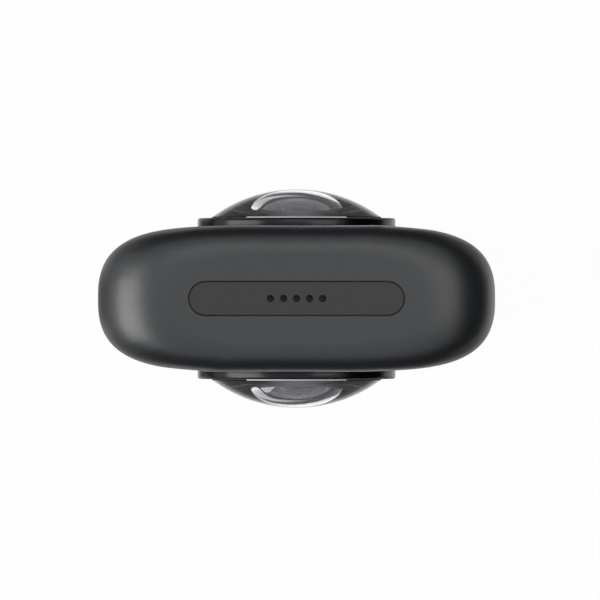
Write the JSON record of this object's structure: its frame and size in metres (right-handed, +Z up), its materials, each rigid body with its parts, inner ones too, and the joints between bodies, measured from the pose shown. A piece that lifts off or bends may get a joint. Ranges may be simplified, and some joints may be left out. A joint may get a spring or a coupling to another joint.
{
  "type": "360 degree camera",
  "caption": "Slim upright camera with a dome fisheye lens on each broad face, a round display, two buttons, a hinged battery door and a tripod thread.",
  "frame": {"origin": "centre of the flat base, on the tripod thread's axis", "axes": "+X to the viewer's right when the display faces the viewer, +Y towards the rear lens, +Z up"},
  "size_m": [0.0482, 0.0266, 0.115],
  "materials": {
    "frame_plastic": "fine moulded texture",
    "cover_plastic": "fine moulded texture",
    "ring_black": "satin",
    "dome_glass": "coated, clear",
    "lens_glass": "coated, clear",
    "filter_glass": "tinted",
    "barrel_black": "anti-reflection black",
    "sensor_package": "glazed chip package",
    "cast_metal": "as cast",
    "circuit_board": "solder mask",
    "chip_black": "moulded",
    "sheet_steel": "stamped",
    "screw_steel": "black oxide",
    "window_black": "smoked, polished",
    "panel_glass": "display module",
    "foam": "closed-cell foam",
    "button_satin": "satin",
    "ring_accent": "anodised look",
    "light_guide": "clear diffuser",
    "battery_wrap": "wrapped cell",
    "inner_plastic": "moulded",
    "gold_contact": "gold plated",
    "card_plastic": "moulded, unmarked",
    "copper_sheet": "rolled copper",
    "ribbon_film": "polyimide film"
  },
  "bodies": {
    "camera_body": {"barrel_screws": "screw_steel", "base_plate": "cover_plastic", "base_screws": "screw_steel", "battery": "battery_wrap", "battery_bay": "inner_plastic", "battery_contacts": "gold_contact", "board_chips": "chip_black", "board_connectors": "chip_black", "card_slot": "sheet_steel", "charging_socket": "sheet_steel", "chassis_screws": "screw_steel", "chip_shield": "sheet_steel", "cover_screws": "screw_steel", "display_foam": "foam", "display_panel": "panel_glass", "display_window": "window_black", "front_cover": "cover_plastic", "front_dome_lens": "dome_glass", "front_lens_barrel": "barrel_black", "front_lens_ring": "ring_black", "front_second_lens": "lens_glass", "front_sensor_board": "circuit_board", "heat_sheet": "copper_sheet", "hinge_pin": "sheet_steel", "image_sensors": "sensor_package", "infrared_filters": "filter_glass", "inner_lenses": "lens_glass", "lens_bracket": "cast_metal", "lens_retainers": "barrel_black", "main_board": "circuit_board", "main_frame": "frame_plastic", "mic_board": "circuit_board", "mic_mesh": "sheet_steel", "microphones": "chip_black", "power_switch": "chip_black", "rear_cover": "cover_plastic", "rear_dome_lens": "dome_glass", "rear_lens_barrel": "barrel_black", "rear_lens_ring": "ring_black", "rear_second_lens": "lens_glass", "rear_sensor_board": "circuit_board", "sensor_ribbons": "ribbon_film", "shutter_ring": "ring_accent", "shutter_switch": "chip_black", "socket_board": "circuit_board", "speaker": "chip_black", "status_led": "light_guide", "status_light_pipe": "light_guide", "top_cap": "cover_plastic", "tripod_insert": "sheet_steel", "wifi_antenna": "ribbon_film"},
    "shutter": {"shutter_button": "button_satin", "shutter_plunger": "button_satin"},
    "power_key": {"power_button": "button_satin", "power_plunger": "button_satin"},
    "door": {"battery_door": "cover_plastic", "door_pad": "foam"},
    "latch": {"latch_knob": "cover_plastic", "latch_bolt": "inner_plastic"},
    "card": {"memory_card": "card_plastic"}
  },
  "joints": [
    {"name": "shutter_press", "type": "slide", "parent": "camera_body", "child": "shutter", "axis": [0, 1, 0], "range_m": [0, 0.00035], "stiffness_N_per_m": 300},
    {"name": "power_press", "type": "slide", "parent": "camera_body", "child": "power_key", "axis": [0, 1, 0], "range_m": [0, 0.00035], "stiffness_N_per_m": 300},
    {"name": "door_swing", "type": "hinge", "parent": "camera_body", "child": "door", "pos_m": [0.0225, 0.0044, 0.0435], "axis": [0, 0, 1], "range_deg": [0, 100]},
    {"name": "latch_slide", "type": "slide", "parent": "door", "child": "latch", "axis": [0, 0, 1], "range_m": [0, 0.0015]},
    {"name": "card_push", "type": "slide", "parent": "camera_body", "child": "card", "axis": [-1, 0, 0], "range_m": [0, 0.0007], "stiffness_N_per_m": 300}
  ]
}
